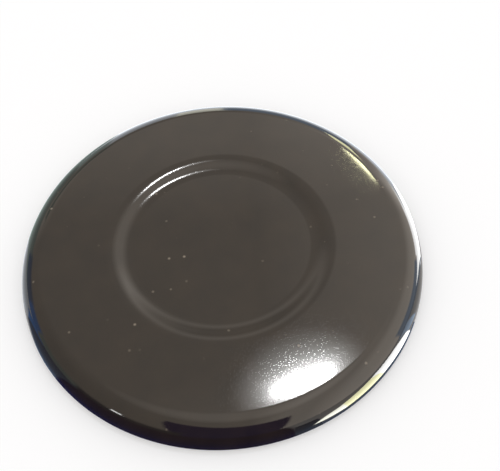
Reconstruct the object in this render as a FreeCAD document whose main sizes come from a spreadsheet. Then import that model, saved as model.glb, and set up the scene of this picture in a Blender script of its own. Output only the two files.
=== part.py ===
import FreeCAD, Part
import math
import os
import Sketcher

# Gas burner cap for a large hob burner: one round disc of steel sheet, pressed and then enamelled.
# From the middle outwards it has a shallow dish with soft corners, a flat ring that sits on the burner
# crown, a rolled edge and a short rim that spreads a little towards its foot. The underside follows the
# top at the sheet's thickness, so the dish stands out below as a boss that centres the cap in the crown.
# Frame: millimetres, +Z up along the cap's axis, origin at the centre of the plane the rim stands on.

# Driving sizes: name, millimetres, what it measures.
SIZES = [
    ("cap_diameter", 100.0, "across the foot of the rim, before its corner is blunted"),
    ("sheet_thickness", 1.6, "steel with a coat of enamel on each side"),
    ("rim_height", 1.6, "straight part of the rim, from its foot up to the rolled edge"),
    ("rim_spread", 0.15, "how far the rim's foot stands out past its top, along a radius"),
    ("edge_radius", 5.8, "rolled edge, on the outside"),
    ("dish_diameter", 53.8, "dish, at the sharp corner of its mouth before that is softened"),
    ("dish_wall_width", 3.5, "sloping wall of the dish between its sharp corners, along a radius"),
    ("dish_depth", 1.0, "from the flat ring down to the dish floor"),
    ("dish_corner_radius", 11.5, "softened corners at the dish's mouth and floor"),
    ("foot_bevel", 0.45, "blunted outer corner of the rim's foot"),
]

# Each of the dish's two soft corners takes at most this share of the wall between them.
DISH_CORNER_LIMIT = 0.48

# The foot's bevel takes at most this share of the sheet's thickness and of the rim's height.
FOOT_BEVEL_LIMIT = 0.6

# Ends of a sketch element, as sketch constraints number them, and the sketch's own origin.
START = 1
END = 2
ORIGIN = (-1, 1)

# Points closer together than this are the same point.
SAME_POINT = 1e-5


def size_sheet(doc):
    """Spreadsheet with one row for each driving size."""
    sheet = doc.addObject("Spreadsheet::Sheet", "Sizes")
    for row, (name, millimetres, meaning) in enumerate(SIZES, start=1):
        sheet.set(f"A{row}", meaning)
        sheet.set(f"B{row}", str(millimetres))
        sheet.setAlias(f"B{row}", name)
    doc.recompute()
    return sheet


def draw_section(sketch, sheet):
    """Half section of a solid puck under the cap's top skin, X as the radius and Y as the height.

    Returns the two corners of the dish, and the corner at the rim's foot.
    """
    rim_radius = sheet.cap_diameter / 2
    mouth_radius = sheet.dish_diameter / 2

    # The rolled edge runs on from the rim, so it starts at the angle by which the rim leans.
    lean = math.atan(sheet.rim_spread / sheet.rim_height)
    rim_top = FreeCAD.Vector(rim_radius - sheet.rim_spread, sheet.rim_height, 0)
    to_centre = FreeCAD.Vector(-math.cos(lean), -math.sin(lean), 0)
    edge_centre = rim_top + to_centre * sheet.edge_radius
    top = edge_centre.y + sheet.edge_radius

    foot_middle = FreeCAD.Vector(0, 0, 0)
    floor_middle = FreeCAD.Vector(0, top - sheet.dish_depth, 0)
    floor_corner = FreeCAD.Vector(mouth_radius - sheet.dish_wall_width, floor_middle.y, 0)
    mouth_corner = FreeCAD.Vector(mouth_radius, top, 0)
    ring_end = FreeCAD.Vector(edge_centre.x, top, 0)
    rim_foot = FreeCAD.Vector(rim_radius, 0, 0)
    edge_circle = Part.Circle(edge_centre, FreeCAD.Vector(0, 0, 1), sheet.edge_radius)

    middle_line = sketch.addGeometry(Part.LineSegment(foot_middle, floor_middle))
    floor_line = sketch.addGeometry(Part.LineSegment(floor_middle, floor_corner))
    wall_line = sketch.addGeometry(Part.LineSegment(floor_corner, mouth_corner))
    ring_line = sketch.addGeometry(Part.LineSegment(mouth_corner, ring_end))
    edge_arc = sketch.addGeometry(Part.ArcOfCircle(edge_circle, lean, math.pi / 2))
    rim_line = sketch.addGeometry(Part.LineSegment(rim_top, rim_foot))
    foot_line = sketch.addGeometry(Part.LineSegment(rim_foot, foot_middle))

    for corner in (
        (middle_line, START, *ORIGIN),
        (middle_line, END, floor_line, START),
        (floor_line, END, wall_line, START),
        (wall_line, END, ring_line, START),
        (rim_line, END, foot_line, START),
        (foot_line, END, middle_line, START),
    ):
        sketch.addConstraint(Sketcher.Constraint("Coincident", *corner))
    for joint in (
        (ring_line, END, edge_arc, END),
        (edge_arc, START, rim_line, START),
    ):
        sketch.addConstraint(Sketcher.Constraint("Tangent", *joint))
    for level in (floor_line, ring_line, foot_line):
        sketch.addConstraint(Sketcher.Constraint("Horizontal", level))
    sketch.addConstraint(Sketcher.Constraint("Vertical", middle_line))

    for name, kind, places, formula in (
        ("rim_radius", "DistanceX", (*ORIGIN, rim_line, END), "Sizes.cap_diameter / 2"),
        ("rim_rise", "DistanceY", (*ORIGIN, rim_line, START), "Sizes.rim_height"),
        ("rim_run", "DistanceX", (rim_line, START, rim_line, END), "Sizes.rim_spread"),
        ("edge", "Radius", (edge_arc,), "Sizes.edge_radius"),
        ("mouth_radius", "DistanceX", (*ORIGIN, wall_line, END), "Sizes.dish_diameter / 2"),
        ("wall_run", "DistanceX", (wall_line, START, wall_line, END), "Sizes.dish_wall_width"),
        ("wall_rise", "DistanceY", (wall_line, START, wall_line, END), "Sizes.dish_depth"),
    ):
        value = sketch.evalExpression(formula)
        index = sketch.addConstraint(Sketcher.Constraint(kind, *places, value))
        sketch.renameConstraint(index, name)
        sketch.setExpression(f"Constraints.{name}", formula)
    return (floor_corner, mouth_corner), rim_foot


def foot_face(shape):
    """Name of the flat face in the plane that the rim stands on."""
    for number, face in enumerate(shape.Faces, start=1):
        if abs(face.BoundBox.ZMax) < SAME_POINT:
            return f"Face{number}"
    raise RuntimeError("the cap has no face in its foot plane")


def corner_edges(shape, corners):
    """Names of the circular edges that pass through the given corners of the half section."""
    names = []
    for number, edge in enumerate(shape.Edges, start=1):
        for corner in corners:
            start = edge.Vertexes[0].Point
            radius = math.hypot(start.x, start.y)
            in_place = math.hypot(radius - corner.x, start.z - corner.y) < SAME_POINT
            if in_place and edge.isClosed():
                names.append(f"Edge{number}")
    return names


def burner_cap(doc, sheet):
    """The pressed cap: turned as a puck, hollowed to the sheet's thickness, its corners then softened."""
    body = doc.addObject("PartDesign::Body", "burner_cap")
    body.Label = "burner_cap"
    section_plane = next(plane for plane in body.Origin.OriginFeatures if plane.Role == "XZ_Plane")
    section = body.newObject("Sketcher::SketchObject", "top_skin_section")
    section.AttachmentSupport = [(section_plane, "")]
    section.MapMode = "FlatFace"
    dish_corners, foot_corner = draw_section(section, sheet)
    doc.recompute()

    puck = body.newObject("PartDesign::Revolution", "outer_form")
    puck.Profile = section
    puck.ReferenceAxis = (section, ["V_Axis"])
    puck.Angle = 360
    doc.recompute()

    pressing = body.newObject("PartDesign::Thickness", "pressed_sheet")
    pressing.Base = (puck, [foot_face(puck.Shape)])
    pressing.Join = "Intersection"
    pressing.Reversed = True
    pressing.setExpression("Value", "Sizes.sheet_thickness")
    doc.recompute()

    # A corner's fillet reaches along the wall by its radius times the tangent of half the wall's slope.
    dish = body.newObject("PartDesign::Fillet", "soft_dish")
    dish.Base = (pressing, corner_edges(pressing.Shape, dish_corners))
    wall_length = "sqrt(Sizes.dish_wall_width ^ 2 + Sizes.dish_depth ^ 2)"
    half_slope = "atan(Sizes.dish_depth / Sizes.dish_wall_width) / 2"
    largest_radius = f"{DISH_CORNER_LIMIT} * {wall_length} / tan({half_slope})"
    dish.setExpression("Radius", f"min(Sizes.dish_corner_radius; {largest_radius})")
    doc.recompute()

    foot = body.newObject("PartDesign::Chamfer", "blunted_foot")
    foot.Base = (dish, corner_edges(dish.Shape, [foot_corner]))
    largest_bevel = f"{FOOT_BEVEL_LIMIT} * min(Sizes.sheet_thickness; Sizes.rim_height)"
    foot.setExpression("Size", f"min(Sizes.foot_bevel; {largest_bevel})")
    doc.recompute()

    body.Placement = FreeCAD.Placement()
    return body


doc = FreeCAD.newDocument("gas_burner_cap")
sheet = size_sheet(doc)
cap = burner_cap(doc, sheet)
doc.recompute()

for item in doc.Objects:
    if "Invalid" in item.State or "Error" in item.State:
        raise RuntimeError(f"{item.Label} failed: {item.State}")
if cap.Shape.isNull() or not cap.Shape.isValid() or len(cap.Shape.Solids) != 1:
    raise RuntimeError("the cap is not one valid solid")

os.makedirs("parts", exist_ok=True)
cap.Shape.exportStep(f"parts/{cap.Label}.step")
print(f"{cap.Label}: volume {cap.Shape.Volume:.1f} mm3, box {cap.Shape.BoundBox}")
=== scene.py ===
import math
import bmesh
import bpy
from mathutils import Matrix, Vector


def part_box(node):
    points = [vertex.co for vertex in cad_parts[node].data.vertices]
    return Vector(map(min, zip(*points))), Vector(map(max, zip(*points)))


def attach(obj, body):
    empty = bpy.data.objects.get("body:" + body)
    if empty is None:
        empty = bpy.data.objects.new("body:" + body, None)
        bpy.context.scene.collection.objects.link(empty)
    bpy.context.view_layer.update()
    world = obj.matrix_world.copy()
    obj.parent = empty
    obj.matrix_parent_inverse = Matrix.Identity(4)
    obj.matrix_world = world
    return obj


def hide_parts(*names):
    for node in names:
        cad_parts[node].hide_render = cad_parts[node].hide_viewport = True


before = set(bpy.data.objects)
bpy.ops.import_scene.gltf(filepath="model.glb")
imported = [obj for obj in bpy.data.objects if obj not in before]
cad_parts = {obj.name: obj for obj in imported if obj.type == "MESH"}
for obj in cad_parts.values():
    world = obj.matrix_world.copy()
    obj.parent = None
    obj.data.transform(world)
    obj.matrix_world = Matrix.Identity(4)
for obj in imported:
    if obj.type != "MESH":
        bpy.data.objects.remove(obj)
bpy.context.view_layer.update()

# The cap: one disc of steel sheet, pressed to a shallow dish, a flat ring, a rolled edge and a short
# rim, then coated with enamel and fired. It is turned here from its half section, sizes in millimetres,
# with the rounded corners that the enamel leaves along the foot and under the dish.
MM = 0.001
CAP_RADIUS = 50.0
SHEET = 1.6
RIM_HEIGHT = 1.6
RIM_SPREAD = 0.15
DISH_RADIUS = 26.9
DISH_WALL = 3.5
DISH_DEPTH = 1.0
DISH_CORNER = 11.5
EDGE_RADIUS = 5.8
OUTER_FOOT = 0.6
INNER_FOOT = 0.4
DEGREES_PER_STEP = 2.5
STEPS_ROUND = 360
SAME_POINT = 0.001
FLAT_FACE_WEIGHT = 100

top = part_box("burner_cap")[1].z / MM
underside = top - SHEET
rim_lean = RIM_SPREAD / RIM_HEIGHT
inner_foot = CAP_RADIUS - SHEET * math.hypot(1, rim_lean)
wall_slope = math.atan(DISH_DEPTH / DISH_WALL)
dish_shift = SHEET * math.tan(wall_slope / 2)

# Corners of the half section as radius, height, rounding and whether they are on the hidden side, from
# the middle of the dish over the rim to the middle of the underside.
SECTION = [
    (0, top - DISH_DEPTH, 0, 0),
    (DISH_RADIUS - DISH_WALL, top - DISH_DEPTH, DISH_CORNER, 0),
    (DISH_RADIUS, top, DISH_CORNER, 0),
    (CAP_RADIUS - rim_lean * top, top, EDGE_RADIUS, 0),
    (CAP_RADIUS, 0, OUTER_FOOT, 0),
    (inner_foot, 0, INNER_FOOT, 1),
    (inner_foot - rim_lean * underside, underside, EDGE_RADIUS - SHEET, 1),
    (DISH_RADIUS + dish_shift, underside, DISH_CORNER - SHEET, 1),
    (DISH_RADIUS - DISH_WALL + dish_shift, underside - DISH_DEPTH, DISH_CORNER - SHEET, 1),
    (0, underside - DISH_DEPTH, 0, 1),
]

cap_mesh = bmesh.new()
hidden_side = cap_mesh.verts.layers.float.new("hidden_side")


def line_to(pen, point):
    """Draws the section on from its last vertex to a point, and returns the new last vertex."""
    pen = bmesh.ops.extrude_vert_indiv(cap_mesh, verts=[pen])["verts"][0]
    pen.co = point
    return pen


points = [Vector((radius, 0, height)) * MM for radius, height, _, _ in SECTION]
pen = cap_mesh.verts.new(points[0])
for before, corner, after, (_, _, rounding, hidden) in zip(points, points[1:], points[2:], SECTION[1:]):
    into = (corner - before).normalized()
    out_of = (after - corner).normalized()
    turn = math.atan2(into.cross(out_of).y, into.dot(out_of))
    reach = rounding * MM * math.tan(abs(turn) / 2)
    pen = line_to(pen, corner - into * reach)
    pen[hidden_side] = hidden
    sideways = Vector((into.z, 0, -into.x)) * math.copysign(rounding * MM, turn)
    centre = pen.co + sideways
    steps = math.ceil(math.degrees(abs(turn)) / DEGREES_PER_STEP)
    arc = bmesh.ops.spin(cap_mesh, geom=[pen], cent=centre, axis=(0, 1, 0), angle=turn, steps=steps)
    pen = next(part for part in arc["geom_last"] if isinstance(part, bmesh.types.BMVert))
pen = line_to(pen, points[-1])

section = cap_mesh.verts[:] + cap_mesh.edges[:]
bmesh.ops.spin(
    cap_mesh, geom=section, cent=(0, 0, 0), axis=(0, 0, 1), angle=math.tau,
    steps=STEPS_ROUND, use_merge=True,
)
bmesh.ops.remove_doubles(cap_mesh, verts=cap_mesh.verts[:], dist=SAME_POINT * MM)
bmesh.ops.recalc_face_normals(cap_mesh, faces=cap_mesh.faces[:])
for face in cap_mesh.faces:
    face.smooth = True


def add_object(name, mesh):
    """Adds a finished bmesh to the scene as an object of that name."""
    thing = bpy.data.objects.new(name, bpy.data.meshes.new(name))
    mesh.to_mesh(thing.data)
    mesh.free()
    bpy.context.scene.collection.objects.link(thing)
    return thing


cap = add_object("enamelled_cap", cap_mesh)
even_flats = cap.modifiers.new("even_flats", "WEIGHTED_NORMAL")
even_flats.weight = FLAT_FACE_WEIGHT


def linear(hex_colour):
    """An sRGB hex colour as the linear red, green, blue and alpha that a socket takes."""
    parts = [int(hex_colour[i:i + 2], 16) / 255 for i in (1, 3, 5)]
    return (*(c / 12.92 if c <= 0.04045 else ((c + 0.055) / 1.055) ** 2.4 for c in parts), 1.0)


def start_material(name):
    """A new material of that name, and its node tree with nothing in it yet."""
    material = bpy.data.materials.new(name)
    material.use_nodes = True
    material.node_tree.nodes.clear()
    return material, material.node_tree


def add_node(tree, kind, inputs, **settings):
    """Adds a node with its settings, and sets or links each named or numbered input."""
    node = tree.nodes.new(kind)
    for name, value in settings.items():
        setattr(node, name, value)
    for name, value in inputs.items():
        if isinstance(value, bpy.types.NodeSocket):
            tree.links.new(value, node.inputs[name])
        else:
            node.inputs[name].default_value = value
    return node


# Vitreous enamel, a glass that is sprayed on as slip and fired: near-black brown and glossy, so most of
# what the eye sees on it is the surroundings. The slip dries with low pinheads and a long soft ripple,
# which fray the edge of each highlight, and pale dust lies on it. The hidden side has a dull ground coat.
# Sizes are in millimetres. The pinheads are drawn a little coarser than they are, so that they show.
GLAZE_DARK = "#140f0a"
GLAZE_PALE = "#2a2219"
GLAZE_ROUGHNESS = 0.045
GROUND_COAT = "#262421"
GROUND_COAT_ROUGHNESS = 0.35
ENAMEL_IOR = 1.55
MOTTLE = 7.0
MOTTLE_DETAIL = 3.0
RIPPLE = 11.0
RIPPLE_HEIGHT = 0.02
PINHEAD_SPACING = 0.42
PINHEAD_RADIUS = 0.16
PINHEAD_HEIGHT = 0.0025
DUST_COLOUR = "#857e74"
DUST_SPACING = 3.0
DUST_RADIUS = 0.45
DUST_CORE = 0.09

# Each cell of the dust pattern has its own number from 0 to 1: it is clean up to the first of these, and
# its speck is at full strength from the second.
CLEAN_CELL = 0.62
DUSTY_CELL = 0.95

enamel, tree = start_material("vitreous_enamel")
place = add_node(tree, "ShaderNodeTexCoord", {}).outputs["Object"]
out_of_sight = add_node(tree, "ShaderNodeAttribute", {}, attribute_name="hidden_side").outputs["Fac"]

mottle = add_node(tree, "ShaderNodeTexNoise", {
    "Vector": place, "Scale": 1 / (MOTTLE * MM), "Detail": MOTTLE_DETAIL,
})
glaze = add_node(tree, "ShaderNodeMix", {
    "Factor": mottle.outputs["Fac"], "A": linear(GLAZE_DARK), "B": linear(GLAZE_PALE),
}, data_type="RGBA")
coat = add_node(tree, "ShaderNodeMix", {
    "Factor": out_of_sight, "A": glaze.outputs["Result"], "B": linear(GROUND_COAT),
}, data_type="RGBA")
dust = add_node(tree, "ShaderNodeTexVoronoi", {"Vector": place, "Scale": 1 / (DUST_SPACING * MM)})
speck = add_node(tree, "ShaderNodeMapRange", {
    "Value": dust.outputs["Distance"],
    "From Min": DUST_RADIUS / DUST_SPACING, "From Max": DUST_CORE / DUST_SPACING,
})
chance = add_node(tree, "ShaderNodeMapRange", {
    "Value": dust.outputs["Color"], "From Min": CLEAN_CELL, "From Max": DUSTY_CELL,
})
dusty = add_node(tree, "ShaderNodeMath", {
    0: speck.outputs["Result"], 1: chance.outputs["Result"],
}, operation="MULTIPLY")
colour = add_node(tree, "ShaderNodeMix", {
    "Factor": dusty.outputs["Value"], "A": coat.outputs["Result"], "B": linear(DUST_COLOUR),
}, data_type="RGBA")
roughness = add_node(tree, "ShaderNodeMapRange", {
    "Value": out_of_sight, "To Min": GLAZE_ROUGHNESS, "To Max": GROUND_COAT_ROUGHNESS,
})

ripple = add_node(tree, "ShaderNodeTexNoise", {"Vector": place, "Scale": 1 / (RIPPLE * MM), "Detail": 0.0})
rippled = add_node(tree, "ShaderNodeBump", {
    "Height": ripple.outputs["Fac"], "Distance": RIPPLE_HEIGHT * MM,
})
cells = add_node(tree, "ShaderNodeTexVoronoi", {"Vector": place, "Scale": 1 / (PINHEAD_SPACING * MM)})
pinheads = add_node(tree, "ShaderNodeMapRange", {
    "Value": cells.outputs["Distance"], "From Min": PINHEAD_RADIUS / PINHEAD_SPACING, "From Max": 0.0,
}, interpolation_type="SMOOTHSTEP")
pimpled = add_node(tree, "ShaderNodeBump", {
    "Height": pinheads.outputs["Result"], "Distance": PINHEAD_HEIGHT * MM,
    "Normal": rippled.outputs["Normal"],
})
shader = add_node(tree, "ShaderNodeBsdfPrincipled", {
    "Base Color": colour.outputs["Result"], "Roughness": roughness.outputs["Result"], "IOR": ENAMEL_IOR,
    "Normal": pimpled.outputs["Normal"],
})
add_node(tree, "ShaderNodeOutputMaterial", {"Surface": shader.outputs["BSDF"]})
cap.data.materials.append(enamel)
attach(cap, "root")
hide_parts("burner_cap")

# The floor: a sheet of matt white paper, a little blue against the warm light so that it looks white.
# It is lifted to white for the eye and in reflections, and keeps the cap's soft shadow.
PAPER = "#e1e8f2"
FLOOR_SIZE = 4.0
FLOOR_GAP = 0.02
FLOOR_LIFT = 0.21
floor_mesh = bmesh.new()
bmesh.ops.create_grid(floor_mesh, x_segments=1, y_segments=1, size=FLOOR_SIZE / 2)
bmesh.ops.translate(floor_mesh, verts=floor_mesh.verts[:], vec=(0, 0, -FLOOR_GAP * MM))
floor = add_object("paper_floor", floor_mesh)
paper, tree = start_material("white_paper")
matt = add_node(tree, "ShaderNodeBsdfDiffuse", {"Color": linear(PAPER)})
rays = add_node(tree, "ShaderNodeLightPath", {}).outputs
seen = rays["Is Camera Ray"]
for ray in (rays["Is Glossy Ray"], rays["Is Transmission Ray"]):
    seen = add_node(tree, "ShaderNodeMath", {0: seen, 1: ray}, operation="MAXIMUM").outputs["Value"]
lift = add_node(tree, "ShaderNodeMath", {0: seen, 1: FLOOR_LIFT}, operation="MULTIPLY")
glow = add_node(tree, "ShaderNodeEmission", {"Strength": lift.outputs["Value"]})
white = add_node(tree, "ShaderNodeAddShader", {0: matt.outputs["BSDF"], 1: glow.outputs["Emission"]})
add_node(tree, "ShaderNodeOutputMaterial", {"Surface": white.outputs["Shader"]})
floor.data.materials.append(paper)

# The room: an even warm white light, which the enamel reflects as brighter overhead, in a band behind the
# cap and most of all to the right. Each level runs between two values along one axis of the direction,
# and they are multiplied. The camera itself sees plain white past the floor.
ROOM_COLOUR = (1.0, 0.92, 0.83, 1.0)
BACKGROUND = (1.0, 1.0, 1.0, 1.0)
ROOM_LEVELS = [
    ("X", -0.9, 0.0, 0.65, 1.0),
    ("X", 0.05, 0.25, 1.0, 1.7),
    ("X", 0.45, 0.7, 1.0, 1.4),
    ("Y", 0.6, 0.69, 1.0, 1.4),
    ("Y", 0.71, 0.8, 1.0, 0.6),
    ("Z", 0.91, 0.985, 1.0, 1.55),
]
world = bpy.data.worlds.new("warm_room")
bpy.context.scene.world = world
world.use_nodes = True
tree = world.node_tree
tree.nodes.clear()
direction = add_node(tree, "ShaderNodeTexCoord", {}).outputs["Generated"]
towards = add_node(tree, "ShaderNodeSeparateXYZ", {"Vector": direction}).outputs
reflected = 1.0
for axis, start, end, low, high in ROOM_LEVELS:
    level = add_node(tree, "ShaderNodeMapRange", {
        "Value": towards[axis], "From Min": start, "From Max": end, "To Min": low, "To Max": high,
    })
    product = add_node(tree, "ShaderNodeMath", {
        0: level.outputs["Result"], 1: reflected,
    }, operation="MULTIPLY")
    reflected = product.outputs["Value"]
rays = add_node(tree, "ShaderNodeLightPath", {}).outputs
room_colour = add_node(tree, "ShaderNodeMix", {
    "Factor": rays["Is Camera Ray"], "A": ROOM_COLOUR, "B": BACKGROUND,
}, data_type="RGBA")
room_strength = add_node(tree, "ShaderNodeMix", {"Factor": rays["Is Glossy Ray"], "A": 1.0, "B": reflected})
room = add_node(tree, "ShaderNodeBackground", {
    "Color": room_colour.outputs["Result"], "Strength": room_strength.outputs["Result"],
})
add_node(tree, "ShaderNodeOutputWorld", {"Surface": room.outputs["Background"]})

# The lamp that shows in the enamel: a broad one high behind the cap, with an oval face that is turned to
# it. Each end of the face is an azimuth and an elevation, in degrees, and a distance, in metres.
LAMP_START = (81.5, 68.2, 3.12)
LAMP_END = (69.4, 65.5, 3.186)
LAMP_WIDTH = 0.09
LAMP_RADIANCE = 70.0


def stand_off(azimuth, elevation, distance):
    """The point in a direction from the middle of the cap's foot, in degrees, at a distance in metres."""
    turn = math.radians(azimuth)
    rise = math.radians(elevation)
    across_floor = Vector((math.cos(turn), math.sin(turn), 0)) * math.cos(rise)
    return (across_floor + Vector((0, 0, math.sin(rise)))) * distance


lamp_start = stand_off(*LAMP_START)
lamp_end = stand_off(*LAMP_END)
along = lamp_end - lamp_start
middle = (lamp_start + lamp_end) / 2
across = middle.cross(along)
facing = along.cross(across)
axes = [axis.normalized() for axis in (along, across, facing)]
light = bpy.data.lights.new("broad_lamp", "AREA")
light.shape = "ELLIPSE"
light.size = along.length
light.size_y = LAMP_WIDTH
light.energy = LAMP_RADIANCE * math.pi * along.length * LAMP_WIDTH
lamp = bpy.data.objects.new("broad_lamp", light)
lamp.matrix_world = Matrix.Translation(middle) @ Matrix(axes).transposed().to_4x4()
lamp.visible_camera = False
bpy.context.scene.collection.objects.link(lamp)

# A glowing sheet round the lamp that only reflections see, brightest at the lamp's edge and less and less
# with distance. In the enamel it is the painted glow beside each highlight and the grey haze round that.
HAZE_WIDTH = 0.22
HAZE_RADIANCE = 5.5
HAZE_FALL = 1.5
GLOW_RADIANCE = 14.0
GLOW_FALL = 6.0
HAZE_SEGMENTS = 48


def add_reflected(name, mesh, material):
    """Adds a finished bmesh to the stage, where only reflections see it, so that it changes no light."""
    thing = add_object(name, mesh)
    thing.data.materials.append(material)
    thing.visible_camera = False
    thing.visible_diffuse = False
    thing.visible_transmission = False
    thing.visible_shadow = False
    return thing


glowing_haze_sheet, tree = start_material("glowing_haze_sheet")
near_lamp = add_node(tree, "ShaderNodeAttribute", {}, attribute_name="nearness").outputs["Fac"]
haze_share = add_node(tree, "ShaderNodeMath", {0: near_lamp, 1: HAZE_FALL}, operation="POWER")
haze_level = add_node(tree, "ShaderNodeMath", {
    0: haze_share.outputs["Value"], 1: HAZE_RADIANCE,
}, operation="MULTIPLY")
glow_share = add_node(tree, "ShaderNodeMath", {0: near_lamp, 1: GLOW_FALL}, operation="POWER")
both_levels = add_node(tree, "ShaderNodeMath", {
    0: glow_share.outputs["Value"], 1: GLOW_RADIANCE, 2: haze_level.outputs["Value"],
}, operation="MULTIPLY_ADD")
# The sheet glows by itself: a painted glow, not light from the lamp.
haze_glow = add_node(tree, "ShaderNodeEmission", {"Strength": both_levels.outputs["Value"]})
clear = add_node(tree, "ShaderNodeBsdfTransparent", {})
haze = add_node(tree, "ShaderNodeAddShader", {0: haze_glow.outputs["Emission"], 1: clear.outputs["BSDF"]})
add_node(tree, "ShaderNodeOutputMaterial", {"Surface": haze.outputs["Shader"]})

half_length = light.size / 2
half_width = light.size_y / 2
spread = (1 + HAZE_WIDTH / half_length, 1 + HAZE_WIDTH / half_width, 1)
haze_mesh = bmesh.new()
nearness = haze_mesh.verts.layers.float.new("nearness")
lamp_edge = bmesh.ops.create_circle(haze_mesh, segments=HAZE_SEGMENTS, radius=1)["verts"]
bmesh.ops.scale(haze_mesh, verts=lamp_edge, vec=(half_length, half_width, 1))
ring = bmesh.ops.extrude_edge_only(haze_mesh, edges=haze_mesh.edges[:])["geom"]
haze_edge = [part for part in ring if isinstance(part, bmesh.types.BMVert)]
bmesh.ops.scale(haze_mesh, verts=haze_edge, vec=spread)
for vert in lamp_edge:
    vert[nearness] = 1
bmesh.ops.transform(haze_mesh, verts=haze_mesh.verts[:], matrix=lamp.matrix_world)
add_reflected("ceiling_haze", haze_mesh, glowing_haze_sheet)

# The boards that stand round the cap, glowing cards with soft edges that only reflections see, which paint
# the light and dark bands along its rim. A soft edge is higher than it is wide, because the rolled edge
# shrinks heights most, and it fades out over the board behind. Each board stands a little nearer than the
# one before, in metres.
BOARD_DISTANCE = 1.5
BOARD_STEP = 0.005
BOARD_EDGE_RISE = 4.0
CARD_CUTS = 7
EDGE_FALL = 2.0
NAVY = "#2c3a86"
SLATE = "#8199bc"
BLUE = "#6ba9f9"
GREY = "#c8ddd8"
PALE = "#eff6ff"
SKY = "#cbe3ff"
CREAM = "#fffff0"
YELLOW = "#fffdcd"
WHITE = "#ffffff"
# Each card glows in its own colour at its own strength, so what it shows in the enamel is a painted
# reflection.
glowing_card, tree = start_material("glowing_card")
paint = add_node(tree, "ShaderNodeObjectInfo", {}).outputs["Color"]
painted = add_node(tree, "ShaderNodeEmission", {"Color": paint})
covered = add_node(tree, "ShaderNodeAttribute", {}, attribute_name="cover").outputs["Fac"]
covered = add_node(tree, "ShaderNodeMath", {0: covered, 1: EDGE_FALL}, operation="POWER").outputs["Value"]
clear = add_node(tree, "ShaderNodeBsdfTransparent", {})
card_face = add_node(tree, "ShaderNodeMixShader", {
    0: covered, 1: clear.outputs["BSDF"], 2: painted.outputs["Emission"],
})
add_node(tree, "ShaderNodeOutputMaterial", {"Surface": card_face.outputs["Shader"]})


def soft_card(corners, edge_width, edge_height):
    """A card drawn flat from its corners, with a border outside them where its cover fades from 1 to 0."""
    card_mesh = bmesh.new()
    cover = card_mesh.verts.layers.float.new("cover")
    drawn = [card_mesh.verts.new((*corner, 0)) for corner in corners]
    whole = bmesh.ops.contextual_create(card_mesh, geom=drawn)["faces"]
    bmesh.ops.scale(card_mesh, verts=card_mesh.verts[:], vec=(1, edge_width / edge_height, 1))
    bmesh.ops.inset_region(card_mesh, faces=whole, thickness=-edge_width, use_boundary=True)
    bmesh.ops.scale(card_mesh, verts=card_mesh.verts[:], vec=(1, edge_height / edge_width, 1))

    # The face has moved out to the border's far side, so it is taken away and the card filled again.
    outer = whole[0].verts[:]
    inner = [vert for vert in card_mesh.verts if vert not in outer]
    bmesh.ops.delete(card_mesh, geom=whole, context="FACES_ONLY")
    inner_edges = [edge for edge in card_mesh.edges if all(vert in inner for vert in edge.verts)]
    bmesh.ops.contextual_create(card_mesh, geom=inner + inner_edges)
    for vert in inner:
        vert[cover] = 1
    bmesh.ops.subdivide_edges(card_mesh, edges=card_mesh.edges[:], cuts=CARD_CUTS, use_grid_fill=True)
    return card_mesh


def add_card(name, card_mesh, hex_colour, strength):
    """Adds a card that is in its place, painted in a colour that shines at a strength."""
    card = add_reflected(name, card_mesh, glowing_card)
    card.color = [strength * part for part in linear(hex_colour)]


# Name, corners as azimuth and elevation in degrees, the soft edge's width in degrees, colour, strength.
# The bright cards paint highlights along the rim, and the navy and slate ones its dark bands.
BOARDS = [
    ("front_board", [(245, 0), (286, 0), (294, 40), (233, 49)], 3.0, NAVY, 1.0),
    ("front_low_board", [(198, 0), (245, 0), (245, 9), (198, 7)], 4.0, SLATE, 0.35),
    ("spark_board", [(216, 10.5), (220.5, 10.5), (220, 13), (216, 13)], 1.0, WHITE, 12.0),
    ("side_board", [(172, 0), (198, 0), (198, 7), (172, 13)], 4.0, GREY, 0.72),
    ("left_blue_board", [(160, 0), (172, 0), (172, 16), (160, 16)], 3.0, BLUE, 1.0),
    ("left_board", [(145, 1), (160, 1), (160, 19), (144, 21)], 3.0, SLATE, 1.0),
    ("back_left_board", [(118, 0), (144, 0), (144, 16), (118, 19)], 3.0, GREY, 0.8),
    ("curtain_board", [(109, 0), (118, 0), (118, 20), (109, 23)], 2.0, GREY, 1.4),
    ("beam_board", [(106, 33), (130, 26), (128, 33), (106, 38)], 1.0, GREY, 0.8),
    ("back_board", [(95.5, 0), (109, 0), (109, 23), (95.5, 22)], 2.0, PALE, 2.1),
    ("window_board", [(87, 2), (95.5, 2), (95.5, 25), (87, 25)], 1.5, CREAM, 3.4),
    ("back_right_board", [(61, 4), (87, 4), (87, 24), (61, 24)], 2.0, SKY, 1.2),
    ("low_strip_board", [(62, 23), (67.5, 21), (67.5, 32), (62, 35)], 1.0, YELLOW, 9.0),
    ("right_back_board", [(22, 0), (47, 0), (38, 7), (22, 4)], 1.0, WHITE, 7.5),
    ("right_board", [(-10, 0), (20, 0), (20, 12), (-10, 16)], 2.0, SKY, 1.5),
]
for layer, (name, corners, edge_width, hex_colour, strength) in enumerate(BOARDS):
    card_mesh = soft_card(corners, edge_width, edge_width * BOARD_EDGE_RISE)
    distance = BOARD_DISTANCE - layer * BOARD_STEP
    for vert in card_mesh.verts:
        vert.co = stand_off(*vert.co.xy, distance)
    add_card(name, card_mesh, hex_colour, strength)

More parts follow.
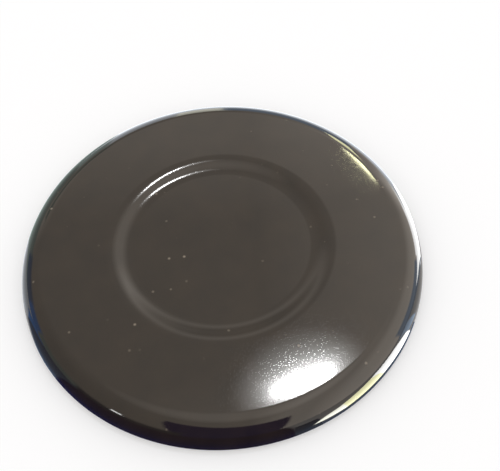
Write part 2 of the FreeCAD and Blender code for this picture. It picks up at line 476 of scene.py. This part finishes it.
# The slim lamp: a warm tube close behind the cap and to its right, which shows as a streak along the
# rolled edge. It is a glowing narrow card with pointed ends here that only reflections see, a painted
# highlight that gives no light, its corners an azimuth and an elevation.
STRIP = [(69, 43.6), (65.1, 44.75), (61.2, 46.8), (65.1, 45.25)]
STRIP_EDGE = 0.15
STRIP_DISTANCE = 0.36
STRIP_STRENGTH = 42.0
strip_mesh = soft_card(STRIP, STRIP_EDGE, STRIP_EDGE)
for vert in strip_mesh.verts:
    vert.co = stand_off(*vert.co.xy, STRIP_DISTANCE)
add_card("strip_board", strip_mesh, YELLOW, STRIP_STRENGTH)

# The mats that lie on the floor beside the cap, glowing cards like the boards that only reflections see,
# which paint the light and dark bands in the foot of its rim. Each lies a little higher than the one
# before, in millimetres. A mat is drawn flat over the logarithm of its distance, so that its soft edge is
# as wide in proportion near the cap and far off.
MAT_HEIGHT = 0.2
MAT_STEP = 0.002
MAT_EDGE_RISE = 0.5

# Name, corners as azimuth in degrees and distance from the cap's axis in millimetres, the soft edge's
# width in degrees, colour, strength.
MATS = [
    ("front_mat", [(215, 49.5), (284, 49.5), (290, 1500), (190, 1500)], 4.0, NAVY, 0.5),
    ("front_right_mat", [(284, 49.5), (291.5, 49.5), (292, 60), (286, 62)], 1.0, SLATE, 0.5),
    ("front_left_mat", [(192, 55), (205, 50.5), (215, 49.5), (190, 1500), (172, 1500)], 4.0, SLATE, 0.6),
    ("left_blue_mat", [(183, 70), (192, 55), (172, 1500), (160, 1500)], 3.0, BLUE, 1.0),
    ("left_pale_mat", [(168, 51.5), (190, 51.5), (192, 55), (183, 70), (165, 150)], 2.0, PALE, 1.2),
    ("back_left_mat", [(120, 50), (167, 50), (155, 1500), (118, 1500)], 3.0, GREY, 1.0),
    ("back_mat", [(72, 50), (120, 50), (118, 1500), (78, 1500)], 2.0, PALE, 2.4),
    ("back_right_mat", [(20, 50), (72, 50), (78, 1500), (46, 1500)], 2.0, PALE, 2.4),
    ("right_mat", [(-7, 54.8), (20, 51.8), (46, 1500), (19, 1500)], 2.0, WHITE, 7.5),
    ("right_blue_mat", [(334, 52.5), (354, 52.5), (379, 1500), (353, 1500), (343, 100)], 2.0, SKY, 1.0),
    ("right_pale_mat", [(329.5, 53.5), (334, 52.5), (343, 100), (336, 100)], 2.0, SKY, 2.4),
    ("near_white_mat", [
        (313, 51.4), (328, 51.4), (329, 56.3), (327.5, 75), (319, 74), (314, 68),
    ], 1.0, WHITE, 11.5),
    ("near_yellow_mat", [(299, 51.2), (313, 51.4), (314, 68), (300, 57)], 1.5, YELLOW, 9.5),
    ("near_cream_mat", [(290, 51.8), (299, 51.2), (300, 57), (295, 55)], 1.5, CREAM, 11.0),
    # A slate mat against the foot: painted shade that stands for the floor's shadow there in the
    # reflection.
    ("near_dark_mat", [(291.5, 49.5), (331, 49.5), (331, 51.0), (291.5, 50.8)], 0.5, SLATE, 0.7),
]
for layer, (name, corners, edge_width, hex_colour, strength) in enumerate(MATS):
    corners = [(azimuth, math.log(distance)) for azimuth, distance in corners]
    card_mesh = soft_card(corners, edge_width, math.radians(edge_width * MAT_EDGE_RISE))
    height = MAT_HEIGHT + layer * MAT_STEP
    for vert in card_mesh.verts:
        azimuth, log_distance = vert.co.xy
        vert.co = stand_off(azimuth, 0, math.exp(log_distance) * MM) + Vector((0, 0, height * MM))
    add_card(name, card_mesh, hex_colour, strength)

# The camera: close above the near edge, at the photograph's angle. Its place and aim are in millimetres.
IMAGE_WIDTH = 500
FOCAL_PIXELS = 700
SENSOR_WIDTH = 36.0
CLIP_START = 0.01
CAMERA_PLACE = Vector((0, -99.2, 148.0)) * MM
CAMERA_AIM = Vector((7.19, 0.63, top)) * MM
CAMERA_ROLL = math.radians(-2.1)
camera = bpy.data.objects.new("camera", bpy.data.cameras.new("camera"))
camera.data.sensor_width = SENSOR_WIDTH
camera.data.lens = SENSOR_WIDTH * FOCAL_PIXELS / IMAGE_WIDTH
camera.data.clip_start = CLIP_START
aim = (CAMERA_AIM - CAMERA_PLACE).to_track_quat("-Z", "Y").to_matrix().to_4x4()
camera.matrix_world = Matrix.Translation(CAMERA_PLACE) @ aim @ Matrix.Rotation(CAMERA_ROLL, 4, "Z")
bpy.context.scene.collection.objects.link(camera)
bpy.context.scene.camera = camera
bpy.context.scene.view_settings.view_transform = "Standard"
